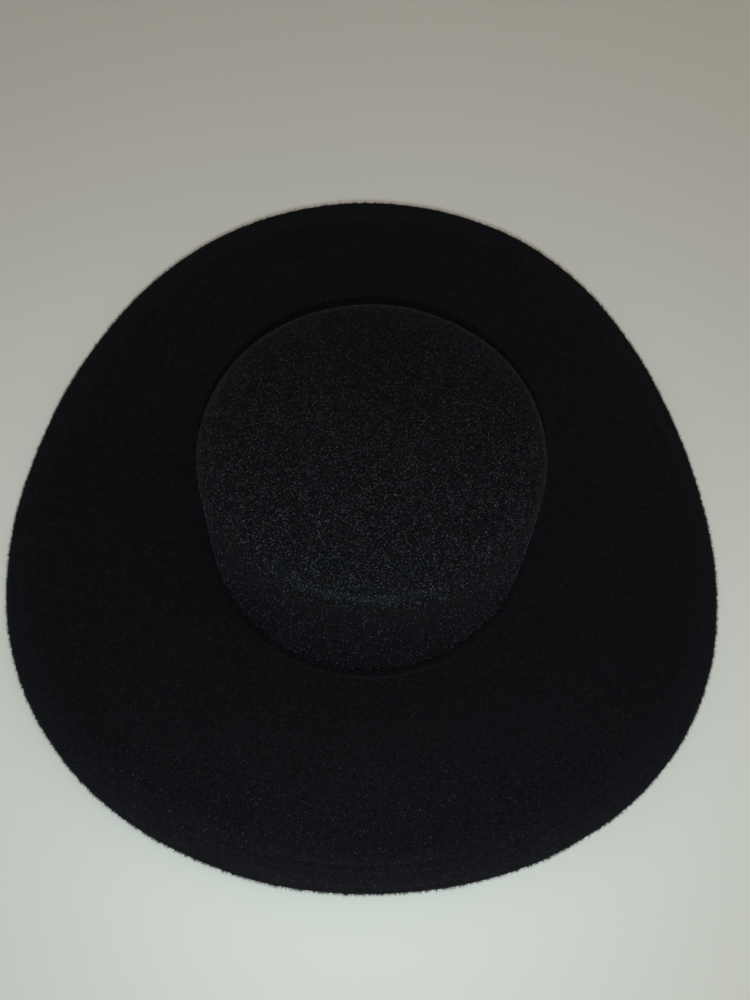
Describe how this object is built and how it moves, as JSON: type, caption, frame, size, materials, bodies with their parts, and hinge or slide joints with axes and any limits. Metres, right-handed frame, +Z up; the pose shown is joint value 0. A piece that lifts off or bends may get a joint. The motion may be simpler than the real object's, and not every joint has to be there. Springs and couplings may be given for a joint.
{
  "type": "wide-brimmed felt hat",
  "caption": "Black wool-felt hat with a low flat-topped round crown and a wide wavy wired brim; a pirate-costume hat worn on the head.",
  "frame": {"origin": "middle of the head opening, on the plane of the brim's underside at the opening, which is the plane the hat stands on", "axes": "+Z up through the crown's top, -Y towards the hat's front, +X towards the wearer's left"},
  "size_m": [0.408, 0.4205, 0.0912],
  "materials": {
    "felt": "matte black wool felt with a short raised nap",
    "thread": "black spun polyester sewing thread",
    "spring_steel": "plain drawn spring-steel wire",
    "sleeve_metal": "crimped plain metal",
    "sweatband_ribbon": "black ribbed grosgrain ribbon, slight sheen",
    "label_cloth": "off-white woven tape, blank"
  },
  "bodies": {
    "root": {"felt_crown": "felt", "felt_brim": "felt", "crown_joint_stitching": "thread", "brim_wire": "spring_steel", "wire_sleeve": "sleeve_metal", "hem_stitching": "thread", "sweatband": "sweatband_ribbon", "sweatband_stitching": "thread", "sweatband_join_tab": "sweatband_ribbon", "size_label": "label_cloth"}
  },
  "joints": []
}
